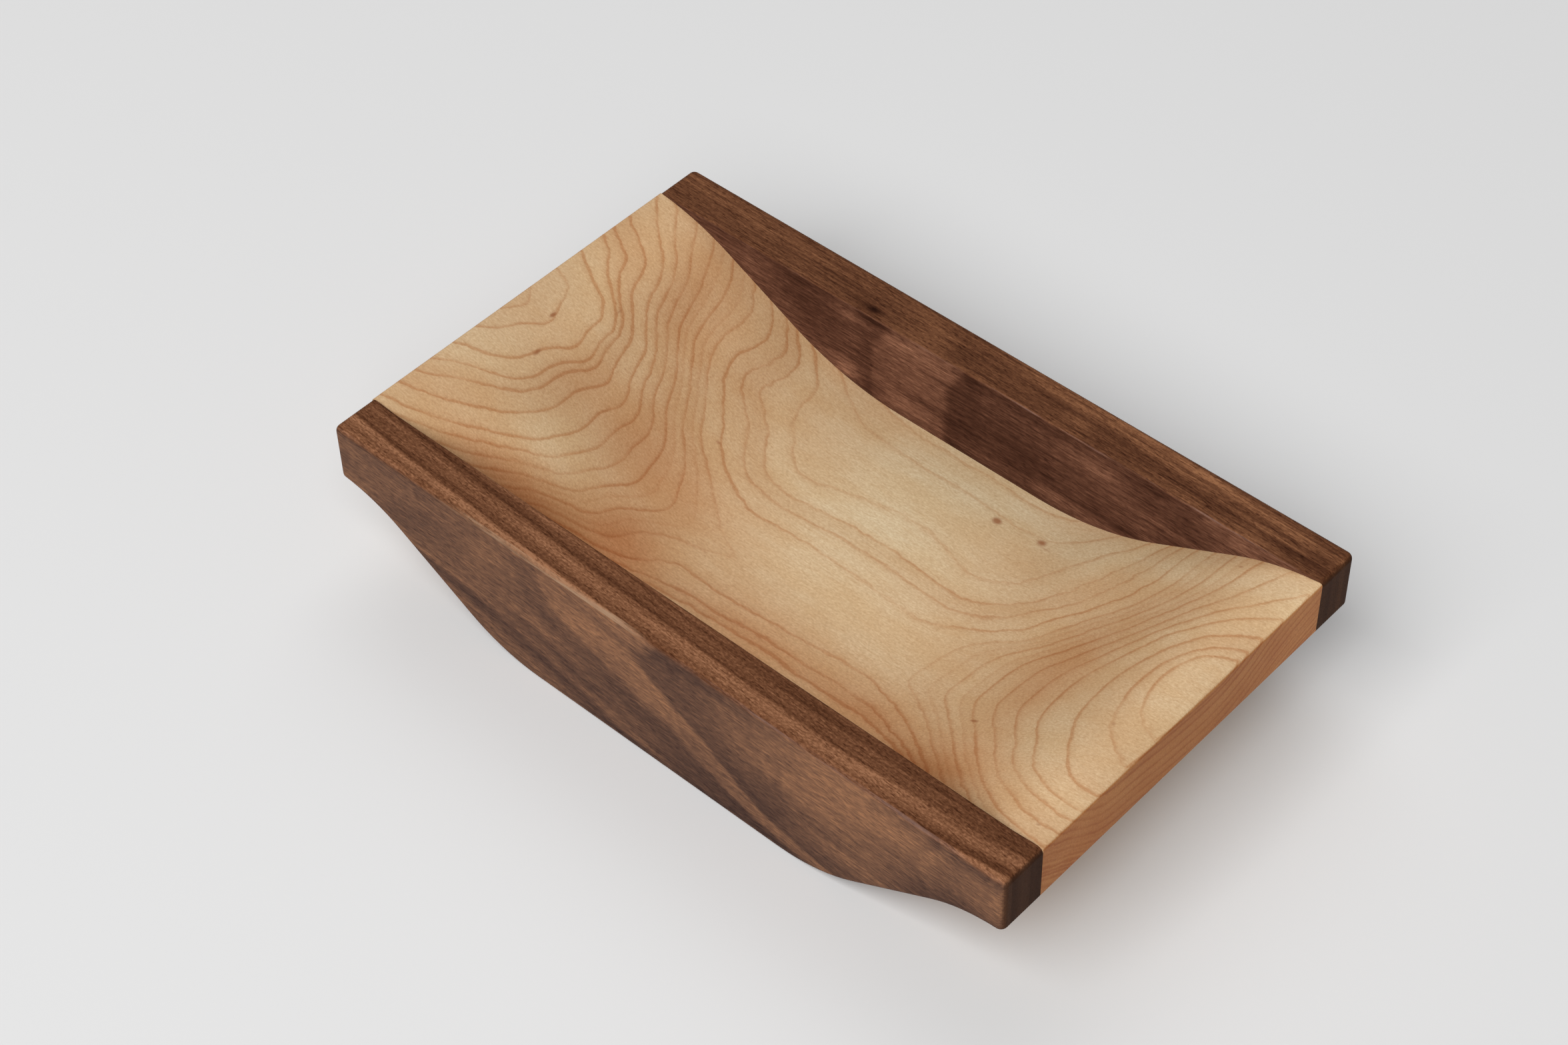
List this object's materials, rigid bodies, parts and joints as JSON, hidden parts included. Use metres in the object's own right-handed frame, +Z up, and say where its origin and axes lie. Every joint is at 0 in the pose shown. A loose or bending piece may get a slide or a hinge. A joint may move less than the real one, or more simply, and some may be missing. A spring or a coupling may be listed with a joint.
{
  "type": "coin tray",
  "caption": "Wooden tray for loose coins: a scooped maple board with swept-up ends, glued between straight-topped walnut rails.",
  "frame": {"origin": "on the surface that the tray stands on, under the middle of its flat underside", "axes": "+X along the tray's length, +Y across it from the near rail to the far rail, +Z up"},
  "size_m": [0.211, 0.1284, 0.043],
  "materials": {
    "maple": "hard maple, sanded smooth, satin oil and wax",
    "walnut": "black walnut, sanded smooth, satin oil and wax"
  },
  "bodies": {
    "root": {"scooped_board": "maple", "near_rail": "walnut", "far_rail": "walnut"}
  },
  "joints": []
}
